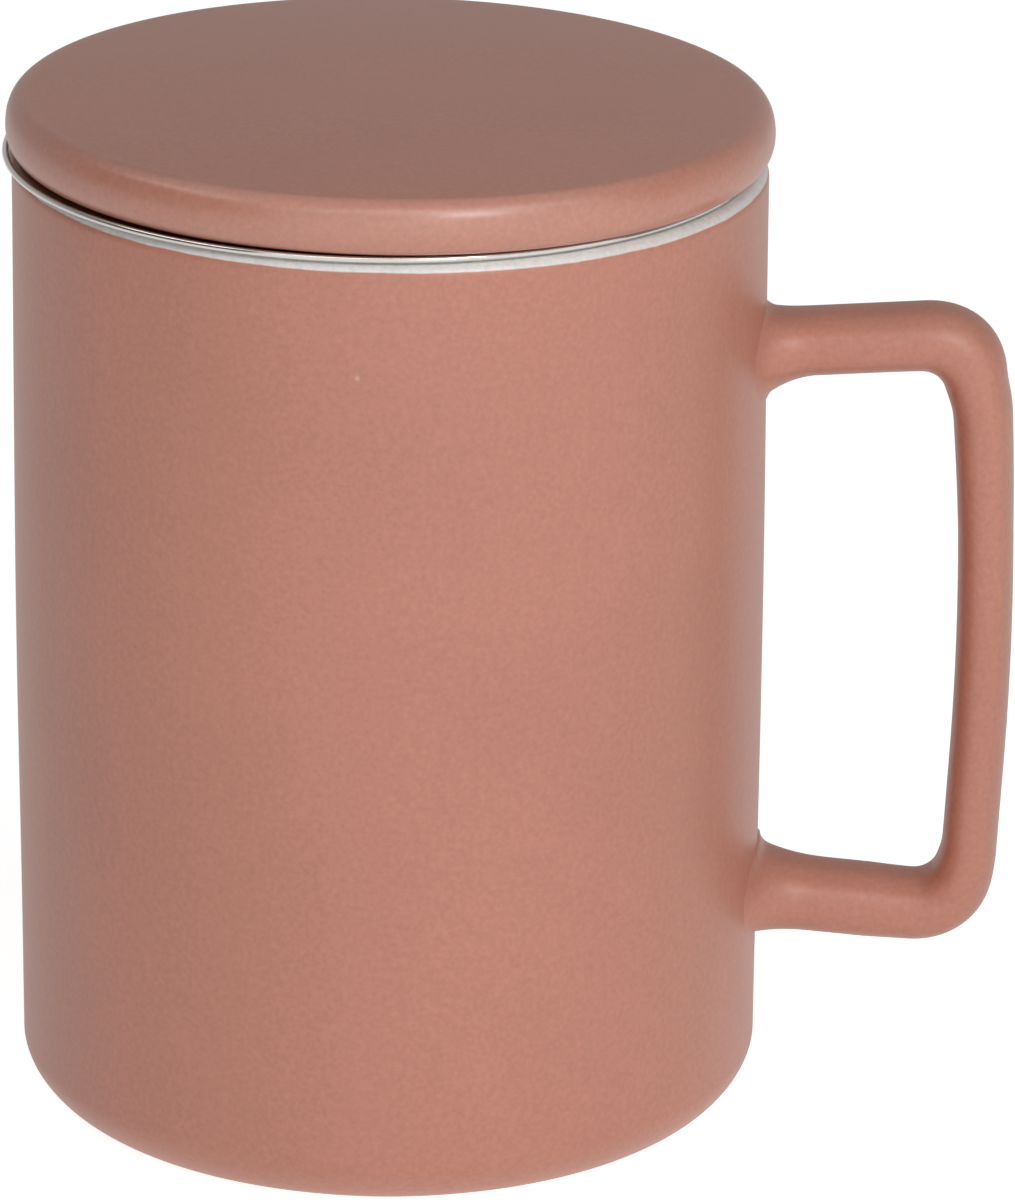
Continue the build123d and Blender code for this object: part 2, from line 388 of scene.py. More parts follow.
# %% Handle sizes
standoff = 24.45 * MM
upper_arm = lip_height - 21.3 * MM
lower_arm = 24.98 * MM
arm_splay = math.radians(4.25)
upright_bow = 1.95 * MM
bow_lift = 3.0 * MM
bow_share = 0.55
upper_bend = (1.9 * MM, 8.3 * MM, 6.0 * MM)  # cut off the arm, off the upright, tight radius
lower_bend = (1.4 * MM, 7.0 * MM, 6.1 * MM)
slack_radius = 14 * MM
flare_root = 4.0 * MM
path_step = 0.25 * MM
print("arms at %.1f and %.1f mm, %.1f mm out" % (upper_arm / MM, lower_arm / MM, standoff / MM))

# %% Handle line
def bend(corner, arm, upright, arm_cut, upright_cut, radius):
    """A corner cut off between the arm and the upright, its two ends rounded: a tight arc
    near the arm and a slack one near the upright."""
    first, second = corner - arm * arm_cut, corner + upright * upright_cut
    slant = direction(first, second)
    tight = arc_points(*arc_between(first, arm, slant, radius), 32)
    slack = arc_points(*arc_between(second, slant, upright, slack_radius), 16)
    return np.concatenate([tight, slack])


out_up = np.array([math.cos(arm_splay), math.sin(arm_splay)])
out_down = np.array([math.cos(arm_splay), -math.sin(arm_splay)])
run_out = standoff / math.cos(arm_splay)
upper_root = np.array([wall_radius, upper_arm])
lower_root = np.array([wall_radius, lower_arm])
upper_corner = upper_root + out_up * run_out
lower_corner = lower_root + out_down * run_out
bow_corner = (upper_corner + lower_corner) / 2 + [upright_bow, bow_lift]
half_upright = np.linalg.norm(upper_corner - lower_corner) / 2
bow_radius = bow_share * half_upright**2 / upright_bow
fall, rest = direction(upper_corner, bow_corner), direction(bow_corner, lower_corner)
handle_line = np.concatenate(
    [
        [upper_root - out_up * flare_root],
        bend(upper_corner, out_up, fall, *upper_bend),
        arc_points(*arc_between(bow_corner, fall, rest, bow_radius), 40),
        bend(lower_corner, out_down, -rest, *lower_bend)[::-1],
        [lower_root - out_down * flare_root],
    ]
)
handle_line, along = evenly_spaced(handle_line, path_step)
handle_line = eased(handle_line, 5)
heading = np.unwrap(np.arctan2(*np.diff(handle_line, axis=0).T[::-1]))
sharpest = math.degrees(np.abs(np.diff(heading)).max())
print("handle line: %d points over %.1f mm" % (len(along), along[-1] / MM))
print("it turns by at most %.1f degrees a step, so it has no kink" % sharpest)

# %% [markdown]
# ## The handle's surface
# The section is a superellipse, which is flatter than an ellipse and softer than a rounded
# rectangle. Each end thickens towards the wall and then spreads sideways into a low pad, as
# clay does when it is pressed on. A Boolean union with a bevel would leave one even fillet,
# which hands never leave. What counts here is how far a point is from the wall, and since the
# wall is round, it is further away beside the arm than in the arm's own plane.

# %% Swellings of the handle
def hollow_round(distance, radius):
    """Height of a quarter-circle fillet between the wall and the arm at a distance from it."""
    gap = np.clip(radius - np.clip(distance, 0, None), 0, None)
    return radius - np.sqrt(radius**2 - gap**2)


def flared(distance, size, length, fillet):
    """size (1 - distance / length)^2 near the wall, with a small fillet right at it."""
    thickening = size * np.clip(1 - distance / length, 0, None) ** 2
    return thickening + hollow_round(distance, fillet)


def pad_spread(distance, size):
    """The same fillet drawn sideways, moved inwards to where the round wall falls away."""
    recess = (handle_depth / 2 + size) ** 2 / (2 * wall_radius)
    return hollow_round(distance + recess, size)


def swelling(corner, size, length):
    """size (1 + cos(pi t)) / 2, t being the distance along the bar from a corner over a
    length. It comes as a column, one value for each point of the line."""
    mark = along[np.argmin(np.linalg.norm(handle_line - corner, axis=1))]
    share = np.clip(np.abs(along - mark) / length, 0, 1)
    return (size * (1 + np.cos(np.pi * share)) / 2)[:, None]


def power_wave(wave, squareness):
    """sign(w) |w|^(2/n): turns a circle's sine and cosine into a superellipse's."""
    return np.sign(wave) * np.abs(wave) ** (2 / squareness)


print("a 2 mm fillet, 1 mm off the wall, is %.2f mm high" % hollow_round(1.0, 2.0))

# %% Width of the handle and its pads
handle_depth = 11.0 * MM
section_squareness = 2.35
handle_columns = 128
upper_pad = 7.4 * MM
lower_pad = 8.9 * MM

tangent = np.gradient(handle_line, axis=0)
tangent /= np.linalg.norm(tangent, axis=1, keepdims=True)
loopward = np.stack([tangent[:, 1], -tangent[:, 0]], axis=1)
from_upper, from_lower = along - flare_root, along[-1] - along - flare_root
side_half = handle_depth / 2 + pad_spread(from_upper, upper_pad) + pad_spread(from_lower, lower_pad)
around = np.linspace(0, 2 * np.pi, handle_columns, endpoint=False)
across = power_wave(np.cos(around), section_squareness)[None, :]
handle_y = side_half[:, None] * power_wave(np.sin(around), section_squareness)[None, :]
print("lower pad: %.1f mm wide at the wall" % (2 * np.abs(handle_y).max() / MM))

# %% Thickness of the handle
arm_thickness = (7.35 * MM, 7.95 * MM)
upright_thickness = 6.4 * MM
thickness_marks = np.array([0, 0.17, 0.40, 0.72, 0.86, 1])  # shares of the line's length
upper_inside = (1.8 * MM, 6 * MM, 0.6 * MM)  # size, length and fillet of each flare
upper_outside = (0.15 * MM, 3 * MM, 1.5 * MM)
lower_inside = (1.0 * MM, 9 * MM, 1.2 * MM)
lower_outside = (0.3 * MM, 6 * MM, 0.4 * MM)
inner_swell = (0.2 * MM, 9 * MM), (0.25 * MM, 9 * MM)  # size and length at the two corners
outer_swell = (0.65 * MM, 6 * MM), (0.25 * MM, 6 * MM)


def swollen(half, sizes):
    """A half thickness with the swellings of the upper and the lower corner added."""
    return half + swelling(upper_corner, *sizes[0]) + swelling(lower_corner, *sizes[1])


recess = wall_radius - np.sqrt(wall_radius**2 - handle_y**2)
upper_gap, lower_gap = from_upper[:, None] + recess, from_lower[:, None] + recess
widths = [arm_thickness[0]] * 2 + [upright_thickness] * 2 + [arm_thickness[1]] * 2
bar_half = np.interp(along, along[-1] * thickness_marks, widths)[:, None] / 2
inner_half = bar_half + flared(upper_gap, *upper_inside) + flared(lower_gap, *lower_inside)
inner_half = swollen(inner_half, inner_swell)
outer_half = bar_half + flared(upper_gap, *upper_outside) + flared(lower_gap, *lower_outside)
outer_half = swollen(outer_half, outer_swell)
print("bar %.1f to %.1f mm thick" % (2 * bar_half.min() / MM, 2 * bar_half.max() / MM))

# %% Handle
reach = np.where(across > 0, inner_half, outer_half) * across
handle_x = handle_line[:, 0:1] + reach * loopward[:, 0:1]
handle_z = handle_line[:, 1:2] + reach * loopward[:, 1:2]
handle_points = np.stack([handle_x, handle_y, handle_z], axis=-1).reshape(-1, 3)
caps = [np.append(handle_line[end], 0)[[0, 2, 1]] for end in (0, -1)]
rows, count = len(handle_line), len(handle_points)
handle_points = np.concatenate([handle_points, caps])
handle_fans = [
    fan_faces(0, handle_columns, count, True),
    fan_faces((rows - 1) * handle_columns, handle_columns, count + 1, False),
]
handle = make_piece("mug_handle", handle_points, grid_faces(rows, handle_columns), handle_fans)
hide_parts("handle")
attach(handle, "mug")

# %% [markdown]
# ## The lid
# The lid is a turned disc with a locating ring below that drops into the infuser's neck. The
# dome is nearly flat, so the eye reads the lid by its rounded edge: the dome meets a tight
# round above, the side leans out to its widest line low down, and a softer round leads below.
# A flattened sphere would be quicker, but its edge would be thin. The dome is part of a large
# sphere, whose radius follows from its width and rise.

# %% Lid sizes
lid_radius = lid_high[1]
ring_depth = 5.5 * MM
lid_underside = lid_low[2] + ring_depth
edge_height = 6.27 * MM
dome_rise = 2.08 * MM
shoulder_round = 2.5 * MM
lid_thickness = 5.0 * MM

shoulder = lid_radius - shoulder_round
edge_top = lid_underside + edge_height
crown = edge_top + dome_rise
ceiling = crown - lid_thickness
dome_radius = (shoulder**2 + dome_rise**2) / (2 * dome_rise)


def dome(start, end, top, count):
    """Points on the arc top - R + sqrt(R^2 - r^2), R being the dome's radius."""
    radius = np.linspace(start, end, count)
    height = top - dome_radius + np.sqrt(dome_radius**2 - radius**2)
    return np.stack([radius, height], axis=1)


print("the dome is part of a sphere of %.0f mm radius" % (dome_radius / MM))

# %% Lid's locating ring
ring_outer = 32.4 * MM
ring_inner = 29.4 * MM
ring_bevel = 0.8 * MM
ring_root = 2.0 * MM


def ring_round(radius, height, first, last):
    """One of the ring's quarter rounds, from an angle to an angle."""
    return rounded((radius, height), ring_bevel, first, last, 8)


ring_top = dome(ring_inner, ring_inner, ceiling, 1)[0, 1]
ring_start, ring_end = lid_low[2] + ring_bevel, lid_underside - ring_bevel
ring_profile = joined(
    dome(0, ring_inner - ring_root, ceiling, 20),
    bent(
        (ring_inner - ring_root, ring_top),
        (ring_inner, ring_top),
        (ring_inner, ring_top),
        (ring_inner, ring_top - ring_root),
        10,
    ),
    straight((ring_inner, ceiling - 2 * ring_root), (ring_inner, ring_start), 6),
    ring_round(ring_inner + ring_bevel, ring_start, 180, 270),
    ring_round(ring_outer - ring_bevel, ring_start, 270, 360),
    straight((ring_outer, ring_start), (ring_outer, ring_end), 6),
    ring_round(ring_outer + ring_bevel, ring_end, 180, 90),
)
print("ring: %.1f to %.1f mm in radius" % (ring_inner / MM, ring_outer / MM))

# %% Lid's edge
QUARTER = 0.55  # how far a Bezier's handles reach to make about a quarter ellipse
under_round = 1.6 * MM
widest_height = 2.6 * MM
side_bow = 1.1 * MM
side_top = (0.56 * MM, 5.1 * MM)  # in from the widest line, and up from the underside
side_lean = math.radians(31)
lean_below, lean_above = 0.7 * MM, 0.85 * MM
reach_in = 0.85 * MM

under_start = lid_radius - under_round
widest = lid_underside + widest_height
side_end = np.array([lid_radius - side_top[0], lid_underside + side_top[1]])
leaning = np.array([math.sin(side_lean), -math.cos(side_lean)])
corner_height = edge_top - reach_in * shoulder / (dome_radius - dome_rise)
edge_profile = joined(
    bent(
        (under_start, lid_underside),
        (under_start + QUARTER * under_round, lid_underside),
        (lid_radius, widest - QUARTER * widest_height),
        (lid_radius, widest),
        22,
    ),
    bent(
        (lid_radius, widest),
        (lid_radius, widest + side_bow),
        side_end + lean_below * leaning,
        side_end,
        16,
    ),
    bent(
        side_end,
        side_end - lean_above * leaning,
        (shoulder + reach_in, corner_height),
        (shoulder, edge_top),
        22,
    ),
)
print("edge: widest %.1f mm above the underside" % (widest_height / MM))

# %% Lid
lid_profile = joined(
    ring_profile,
    straight((ring_outer + ring_bevel, lid_underside), (under_start, lid_underside), 8),
    edge_profile,
    dome(shoulder, 0, crown, 60),
)
lid = turned("mug_lid", lid_profile, unevenness=0.05 * MM)
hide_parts("lid")
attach(lid, "lid")

# %% [markdown]
# ## The infuser's collar
# The collar is pressed from thin sheet: a neck, a bend, a level flange, and an edge rolled
# over so that it isn't sharp. Its profile is a closed loop, so the surface closes on itself
# in both directions, like a tyre. A single sheet with a Solidify modifier would do for the
# neck, but not for the rolled edge, which is rounder than the sheet is thick.

# %% Collar sizes
sheet = 0.5 * MM
rolled_edge = 0.75 * MM
neck_bend = 1.2 * MM
flange_base = collar_high[2] - rolled_edge
flange_top = flange_base + sheet
flange_radius = collar_high[1]
neck_end = collar_low[2]
neck_outer = base_high[1]
neck_bore = neck_outer - sheet
curl = rolled_edge / 2
curl_centre = (flange_radius - curl, flange_base + curl)
bend_centre = (neck_outer + neck_bend, flange_base - neck_bend)
outer_bend = neck_bend + sheet
print("flange %.1f mm, neck %.1f mm in radius" % (flange_radius / MM, neck_outer / MM))

# %% Collar
collar_profile = joined(
    straight((neck_outer, neck_end), (neck_outer, bend_centre[1]), 14),
    rounded(bend_centre, neck_bend, 180, 90, 12),
    straight((bend_centre[0], flange_base), (curl_centre[0], flange_base), 10),
    rounded(curl_centre, curl, -90, 160, 30),
    straight((curl_centre[0] - curl, flange_top), (bend_centre[0], flange_top), 10),
    rounded(bend_centre, outer_bend, 90, 180, 16),
    straight((neck_bore, bend_centre[1]), (neck_bore, neck_end), 14),
)
collar = turned("infuser_collar_pressed", collar_profile, closed=True, shift=-infuser_shift)
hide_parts("infuser_collar")
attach(collar, "infuser")

# %% [markdown]
# ## One slotted cell
# A slotted sheet is the same small cell many times over: a patch with a round-ended slot in
# it. Cutting hundreds of slots with Boolean modifiers would be slow and leave ragged faces.
# One cell is worked out instead, as rings of points from the slot's rim to the cell's border,
# and copied by broadcasting. A Solidify modifier then gives the sheet its thickness.

# %% Slot and border
slot_width = 0.8 * MM
ring_shares = np.array([0.0, 0.35, 1.0])


def slot_rim(half_length, across, up):
    """Round-ended slot: half circles of `across` steps joined by sides of `up` steps."""
    half_width = slot_width / 2
    straight_half = half_length - half_width
    turn = np.radians(np.linspace(0, 180, across + 1))[:-1]
    side = np.linspace(straight_half, -straight_half, up + 1)[:-1]
    top = np.stack([half_width * np.cos(turn), straight_half + half_width * np.sin(turn)], axis=1)
    left = np.stack([np.full(up, -half_width), side], axis=1)
    return np.concatenate([top, left, -top, -left])


def cell_border(half_angle, low, high, across, up):
    """The cell's border in angle and length, with as many points on each side as the rim."""
    top = np.linspace(half_angle, -half_angle, across + 1)[:-1]
    side = np.linspace(high, low, up + 1)[:-1]
    upper = np.stack([top, np.full(across, high)], axis=1)
    left = np.stack([np.full(up, -half_angle), side], axis=1)
    lower = np.stack([-top, np.full(across, low)], axis=1)
    right = np.stack([np.full(up, half_angle), low + high - side], axis=1)
    return np.concatenate([upper, left, lower, right])


print("a slot's rim with 6 and 4 steps has", len(slot_rim(5 * MM, 6, 4)), "points")

# %% Cells and sheets
def slotted_cell(half_angle, low, middle, high, slot_length, across, up, radius=None):
    """Rings of (angle, length) from the slot to the border. Angle is width over radius, which
    is fixed on a tube and the length itself on a disc."""
    rim = slot_rim(slot_length / 2, across, up) + [0, middle]
    rim[:, 0] /= radius if radius else rim[:, 1]
    border = cell_border(half_angle, low, high, across, up)
    return rim + ring_shares[:, None, None] * (border - rim)


def cell_faces(across, up, copies):
    """Faces of one cell, repeated for every copy of its points."""
    ring_points = 2 * (across + up)
    faces = grid_faces(len(ring_shares), ring_points)
    first = np.arange(copies)[:, None, None] * len(ring_shares) * ring_points
    return (first + faces).reshape(-1, 4)


def sheet_piece(name, blocks, thickness, inside):
    """Joins blocks of (points, faces), merges shared points and thickens the sheet inwards."""
    starts = np.cumsum([0] + [len(points) for points, _ in blocks])
    points = np.concatenate([points for points, _ in blocks])
    quads = np.concatenate([faces + start for (_, faces), start in zip(blocks, starts)])
    piece = make_piece(name, settled(points - [infuser_shift, 0, 0]), quads, inside=inside)
    weld = piece.modifiers.new("weld", "WELD")
    weld.merge_threshold = 0.002 * MM
    solid = piece.modifiers.new("sheet", "SOLIDIFY")
    solid.thickness = thickness
    solid.offset = -1
    return piece


print("one cell with 6 and 4 steps has", len(cell_faces(6, 4, 1)), "faces")

# %% [markdown]
# ## The sleeve
# The sleeve is a thin tube with bands of upright slots, each band half a step on from the last
# so that the sheet keeps its strength. An Array modifier and a bend could roll a flat strip of
# cells up, but wrapping the points themselves closes the seam exactly. A plain strip ends the
# tube above and below, where it is welded to the collar and the base.

# %% Sleeve's bands
slots_around = 36
sleeve_slot = 10.0 * MM
slot_spacing = 13.0 * MM
plain_band = 5.0 * MM
sleeve_radius = sleeve_high[1]
sleeve_sheet = 0.4 * MM
sleeve_across, sleeve_up = 6, 4  # faces along a slot's end and its side

lowest_slot = base_high[2] + plain_band
highest_slot = neck_end - plain_band
bands = int((highest_slot - lowest_slot - sleeve_slot) / slot_spacing) + 1
band_middle = (lowest_slot + highest_slot) / 2
band_heights = band_middle + (np.arange(bands) - (bands - 1) / 2) * slot_spacing
half_cell = np.pi / slots_around
print("%d bands of %d slots" % (bands, slots_around))

# %% Sleeve
cell = slotted_cell(
    half_cell, -slot_spacing / 2, 0, slot_spacing / 2, sleeve_slot, sleeve_across, sleeve_up,
    sleeve_radius,
)
turns = (np.arange(slots_around)[None, :] * 2 + (np.arange(bands) % 2)[:, None]) * half_cell
slotted = on_circles(
    turns[:, :, None, None] + cell[..., 0],
    sleeve_radius,
    band_heights[:, None, None, None] + cell[..., 1],
)
sleeve_blocks = [(slotted, cell_faces(sleeve_across, sleeve_up, bands * slots_around))]
plain_turns = half_cell + np.arange(slots_around * sleeve_across) * 2 * half_cell / sleeve_across
plain_ends = (
    (sleeve_low[2], band_heights[0] - slot_spacing / 2),
    (band_heights[-1] + slot_spacing / 2, sleeve_high[2]),
)
for low, high in plain_ends:
    heights = np.linspace(high, low, 4)[:, None]
    plain = on_circles(plain_turns[None, :], sleeve_radius, heights)
    sleeve_blocks.append((plain, grid_faces(4, len(plain_turns))))
sleeve = sheet_piece("infuser_sleeve_slotted", sleeve_blocks, sleeve_sheet, (0, 0, band_middle))
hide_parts("infuser_sleeve")
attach(sleeve, "infuser")

# %% [markdown]
# ## The base
# The base is a pressed cap: an upturned skirt around the sleeve, a rounded heel, a flat rim
# that the basket stands on out of the mug, and a floor pressed up inside it. The floor has
# rings of slots that fan out, fewer towards the middle. All rings and strips share one number
# of columns, so their points meet and the Weld modifier makes one sheet of them.

# %% Base's rings
base_heel = 1.5 * MM
base_rim = 2.6 * MM
base_recess = 1.8 * MM
base_slot = 6.0 * MM
base_middle = 3.8 * MM
base_edge_margin = 0.8 * MM
base_rings = 3
base_slot_step = 10
base_columns = 120
base_up = 3

base_floor = base_low[2] + base_recess
rim_inner = neck_outer - base_heel - base_rim
floor_edge = rim_inner - base_recess
slot_ends = np.linspace(floor_edge - base_edge_margin, base_middle + base_slot, base_rings)
seam = (slot_ends[0] - slot_ends[1] - base_slot) / 2
borders = np.append(slot_ends + seam, slot_ends[-1] - base_slot - seam)
borders[0] = slot_ends[0] + base_edge_margin / 2

base_blocks = []
for number in range(base_rings):
    around_base = base_slot_step * (base_rings - number)
    across = base_columns // around_base
    middle = slot_ends[number] - base_slot / 2
    low, high = borders[number + 1], borders[number]
    cell = slotted_cell(np.pi / around_base, low, middle, high, base_slot, across, base_up)
    turns = np.arange(around_base)[:, None, None] * 2 * np.pi / around_base
    slotted = on_circles(turns + cell[..., 0], cell[..., 1], base_floor)
    base_blocks.append((slotted, cell_faces(across, base_up, around_base)))
    print("ring %d: %d slots" % (number + 1, around_base))

# %% Base
heel_centre = (neck_outer - base_heel, base_low[2] + base_heel)
pressed = joined(
    straight((borders[0], base_floor), (floor_edge, base_floor), 3),
    straight((floor_edge, base_floor), (rim_inner, base_low[2]), 5),
    straight((rim_inner, base_low[2]), (heel_centre[0], base_low[2]), 5),
    rounded(heel_centre, base_heel, -90, 0, 10),
    straight((neck_outer, heel_centre[1]), (neck_outer, base_high[2]), 5),
)
middle_disc = straight((0, base_floor), (borders[-1], base_floor), 4)
base_turns = np.arange(base_columns)[None, :] * 2 * np.pi / base_columns
for profile in (pressed, middle_disc):
    strip = on_circles(base_turns, profile[:, 0:1], profile[:, 1:2])
    base_blocks.append((strip, grid_faces(len(profile), base_columns)[:, ::-1]))
# The base's inner side is its upper one, so the point that tells it lies a metre above.
base = sheet_piece("infuser_base_pressed", base_blocks, sheet, (0, 0, base_high[2] + 1))
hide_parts("infuser_base")
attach(base, "infuser")

# %% [markdown]
# ## Material helpers
# A procedural material is a small graph of nodes. It needs no image file, so it is sharp at any
# distance and never shows a seam. A few helpers keep the graphs readable: one adds a node and
# sets its values, one does a sum on values, one remaps a value, and one blends two colours.

# %% Node helpers
def add_node(tree, kind, settings=None, **inputs):
    """Adds a node, sets its properties, then sets or links its inputs by name."""
    node = tree.nodes.new(kind)
    for key, value in (settings or {}).items():
        setattr(node, key, value)
    for key, value in inputs.items():
        place = key[1:]
        socket = node.inputs[int(place) if place.isdigit() else key.replace("_", " ")]
        if isinstance(value, bpy.types.NodeSocket):
            tree.links.new(value, socket)
        else:
            socket.default_value = value
    return node


def maths(tree, operation, *values, clamp=False):
    """One Math node with its operands."""
    inputs = {"i%d" % place: value for place, value in enumerate(values)}
    settings = {"operation": operation, "use_clamp": clamp}
    return add_node(tree, "ShaderNodeMath", settings, **inputs).outputs[0]


def vector_maths(tree, operation, **inputs):
    """One Vector Math node with its operands."""
    return add_node(tree, "ShaderNodeVectorMath", {"operation": operation}, **inputs).outputs


print("node helpers: add_node, maths and vector_maths")

# %% Ranges and blends
def remap(tree, value, low, high, to_low=0.0, to_high=1.0):
    """A smooth step from low to high, scaled to a new range."""
    node = add_node(
        tree, "ShaderNodeMapRange", {"interpolation_type": "SMOOTHSTEP"},
        Value=value, From_Min=low, From_Max=high, To_Min=to_low, To_Max=to_high,
    )
    return node.outputs[0]


def blend_colour(tree, share, first, second):
    """A Mix node set to colours."""
    node = add_node(tree, "ShaderNodeMix", {"data_type": "RGBA"}, i0=share)
    for place, value in ((6, first), (7, second)):
        if isinstance(value, bpy.types.NodeSocket):
            tree.links.new(value, node.inputs[place])
        else:
            node.inputs[place].default_value = (*value, 1)
    return node.outputs[2]


print("value and colour helpers: remap and blend_colour")

# %% Patterns and places
def noise(tree, position, scale, detail=2.0, roughness=0.5):
    """Noise of the position, in cycles per metre."""
    node = add_node(
        tree, "ShaderNodeTexNoise", Vector=position, Scale=scale, Detail=detail, Roughness=roughness
    )
    return node.outputs[0]


def separate(tree, position):
    """The x, y and z of a position."""
    return add_node(tree, "ShaderNodeSeparateXYZ", Vector=position).outputs


def axis_distance(tree, position):
    """Length of (x, y, 0): how far a point is from the mug's axis."""
    flat = vector_maths(tree, "MULTIPLY", i0=position, i1=(1, 1, 0))[0]
    return vector_maths(tree, "LENGTH", i0=flat)["Value"]


print("noise of 1000 cycles per metre has its grains about %.0f mm apart" % (1 / 1000 / MM))

# %% Groups and materials
def new_group(name, inputs, outputs):
    """An empty node group with named sockets: (name, kind) or (name, kind, default)."""
    tree = bpy.data.node_groups.new(name, "ShaderNodeTree")
    for word, kind, *default in inputs:
        socket = tree.interface.new_socket(word, in_out="INPUT", socket_type="NodeSocket" + kind)
        if default:
            socket.default_value = default[0]
    for word, kind in outputs:
        tree.interface.new_socket(word, in_out="OUTPUT", socket_type="NodeSocket" + kind)
    return tree, tree.nodes.new("NodeGroupInput").outputs, tree.nodes.new("NodeGroupOutput").inputs


def new_material(name):
    """A material with its shader and the piece's own coordinates."""
    material = bpy.data.materials.new(name)
    material.use_nodes = True
    tree = material.node_tree
    shader = tree.nodes["Principled BSDF"]
    position = tree.nodes.new("ShaderNodeTexCoord").outputs["Object"]
    return material, tree, shader, position


def use_group(tree, group, **inputs):
    """Places a node group in a material."""
    return add_node(tree, "ShaderNodeGroup", {"node_tree": group}, **inputs).outputs


def finish_surface(tree, shader, colour, roughness, height, depth):
    """Feeds the shader its varying colour and roughness, and a bump of a depth in metres."""
    tree.links.new(colour, shader.inputs["Base Color"])
    tree.links.new(roughness, shader.inputs["Roughness"])
    bump = add_node(tree, "ShaderNodeBump", Height=height, Distance=depth, Strength=1.0)
    tree.links.new(bump.outputs[0], shader.inputs["Normal"])
    print("a finish of %d nodes with a bump of %.3f mm" % (len(tree.nodes), depth / MM))


# %% [markdown]
# ## The glaze
# A satin glaze has four things going on at once. Its colour drifts slowly where it lies
# thicker. It is dusted with tiny crystals, some lighter and some darker. Its skin has a faint
# orange peel. Here and there a bubble burst and left a pit. One group makes all four from
# noise at several scales, and the materials choose the tone, the drift and the dust.

# %% Glaze colours that every tone shares
DRIFT_SCALE, SWELL_SCALE = 28, 55  # cycles per metre, as all of these
PEEL_SCALE, GRAIN_SCALE = 620, 1500
LIGHT_DUST_SCALE, DARK_DUST_SCALE, PIT_SCALE = 1150, 820, 85.0
LIGHT_CRYSTAL = (0.86, 0.66, 0.56)
DARK_CRYSTAL = (0.12, 0.05, 0.035)
PIT_COLOUR = (0.80, 0.62, 0.52)
GRAIN_SHARE, PIT_SHARE = 0.36, 0.30
SATIN_ROUGHNESS = 0.36

glaze, given, made = new_group(
    "glaze_skin",
    [("Position", "Vector"), ("Tone", "Color"), ("Drift", "Float", 0.1), ("Dust", "Float", 0.2)],
    [("Colour", "Color"), ("Roughness", "Float"), ("Height", "Float")],
)
place = given["Position"]
print("light crystals lie about %.1f mm apart" % (1 / LIGHT_DUST_SCALE / MM))

# %% Glaze colour
# Noise lies around 0.5, so a remap past 0.6 or below 0.35 keeps only its few highest or
# lowest spots. A pit is the middle of about one in ten of a Voronoi pattern's cells.
drift = remap(glaze, noise(glaze, place, DRIFT_SCALE, 3), 0.3, 0.7, -1, 1)
grain = noise(glaze, place, GRAIN_SCALE, 2, 0.6)
light_dust = remap(glaze, noise(glaze, place, LIGHT_DUST_SCALE, 1), 0.60, 0.78)
dark_dust = remap(glaze, noise(glaze, place, DARK_DUST_SCALE, 1), 0.35, 0.22)
cells = add_node(glaze, "ShaderNodeTexVoronoi", Vector=place, Scale=PIT_SCALE)
chosen = add_node(glaze, "ShaderNodeSeparateColor", Color=cells.outputs["Color"]).outputs[0]
near = remap(glaze, cells.outputs["Distance"], 0.045, 0.02)
pit = maths(glaze, "MULTIPLY", near, remap(glaze, chosen, 0.90, 0.92))

value = maths(glaze, "MULTIPLY_ADD", drift, given["Drift"], 1.0)
grain_value = maths(glaze, "MULTIPLY_ADD", grain, GRAIN_SHARE, 1 - GRAIN_SHARE / 2)
value = maths(glaze, "MULTIPLY", value, grain_value)
tone = vector_maths(glaze, "SCALE", i0=given["Tone"], Scale=value)[0]
light_share = maths(glaze, "MULTIPLY", light_dust, given["Dust"])
dark_share = maths(glaze, "MULTIPLY", dark_dust, maths(glaze, "MULTIPLY", given["Dust"], 0.5))
coloured = blend_colour(glaze, light_share, tone, LIGHT_CRYSTAL)
coloured = blend_colour(glaze, dark_share, coloured, DARK_CRYSTAL)
coloured = blend_colour(glaze, maths(glaze, "MULTIPLY", pit, PIT_SHARE), coloured, PIT_COLOUR)
glaze.links.new(coloured, made["Colour"])
print("glaze colour: %d nodes" % len(glaze.nodes))

# %% Glaze skin
rough = maths(glaze, "MULTIPLY_ADD", grain, 0.08, SATIN_ROUGHNESS)
glaze.links.new(rough, made["Roughness"])

# The height is in shares of the bump's depth: a peel of 0.5, a swell of 1.6 and so on.
peel = noise(glaze, place, PEEL_SCALE, 3, 0.55)
swell = noise(glaze, place, SWELL_SCALE, 2)
height = maths(glaze, "MULTIPLY_ADD", peel, 0.5, maths(glaze, "MULTIPLY", swell, 1.6))
height = maths(glaze, "MULTIPLY_ADD", pit, -1.2, height)
height = maths(glaze, "MULTIPLY_ADD", grain, 0.10, height)
glaze.links.new(height, made["Height"])
print("glaze group:", len(glaze.nodes), "nodes")

# %% [markdown]
# ## Glazed pieces
# The handle is glazed all over. The lid has the same glaze with a smoother skin and more
# gloss. Gloss is a plain number on the shader, because only a colour, a roughness or a bump
# may change over a surface when the model leaves Blender.

# %% Terracotta glaze
TERRACOTTA = (0.51, 0.21, 0.146, 1)
bump_depth = 0.06 * MM


def satin(shader, gloss=0.6):
    """The gloss that is the same all over a satin glaze."""
    shader.inputs["IOR"].default_value = 1.5
    shader.inputs["Specular IOR Level"].default_value = gloss
    shader.inputs["Coat Weight"].default_value = 0.0
    shader.inputs["Sheen Weight"].default_value = 0.0


def terracotta_skin(tree, position):
    """The glaze group set to terracotta."""
    return use_group(tree, glaze, Position=position, Tone=TERRACOTTA, Drift=0.03, Dust=0.03)


def handle_material(name):
    """Terracotta glaze all over."""
    material, tree, shader, position = new_material(name)
    skin = terracotta_skin(tree, position)
    finish_surface(tree, shader, skin["Colour"], skin["Roughness"], skin["Height"], bump_depth)
    satin(shader)
    return material


handle.data.materials.append(handle_material("handle_glaze"))

